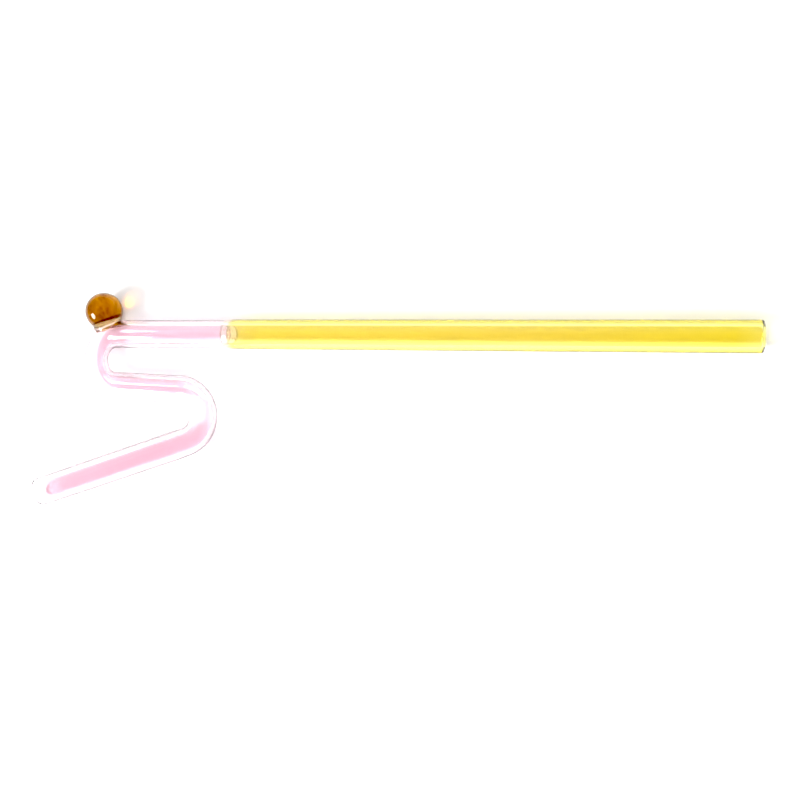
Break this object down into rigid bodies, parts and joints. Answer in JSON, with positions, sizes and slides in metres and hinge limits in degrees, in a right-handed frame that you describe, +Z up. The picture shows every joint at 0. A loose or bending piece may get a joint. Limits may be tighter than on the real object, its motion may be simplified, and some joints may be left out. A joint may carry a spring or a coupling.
{
  "type": "glass drinking straw",
  "caption": "Bent glass drinking straw: a straight yellow tube fused to a pink tube with two bends, and an amber ball on the first bend.",
  "frame": {"origin": "centre of the straight tube's fused end, on its axis, where it meets the seam", "axes": "+X along the straight tube's axis, from the seam to the dip end; +Y across it, to the side of the ball; +Z up from the table that the straw lies on"},
  "size_m": [0.2, 0.0599, 0.0103],
  "materials": {
    "yellow_glass": "clear, tinted right through, fire polished",
    "pink_glass": "clear, pale tint, fire polished",
    "seam_glass": "clear weld glass with a few tiny bubbles",
    "amber_glass": "clear, deep tint, fire polished",
    "foot_glass": "clear, lighter tint than the ball"
  },
  "bodies": {
    "root": {"straight_tube": "yellow_glass", "wiggle_tube": "pink_glass", "fused_seam": "seam_glass", "ball": "amber_glass", "ball_foot": "foot_glass"}
  },
  "joints": []
}
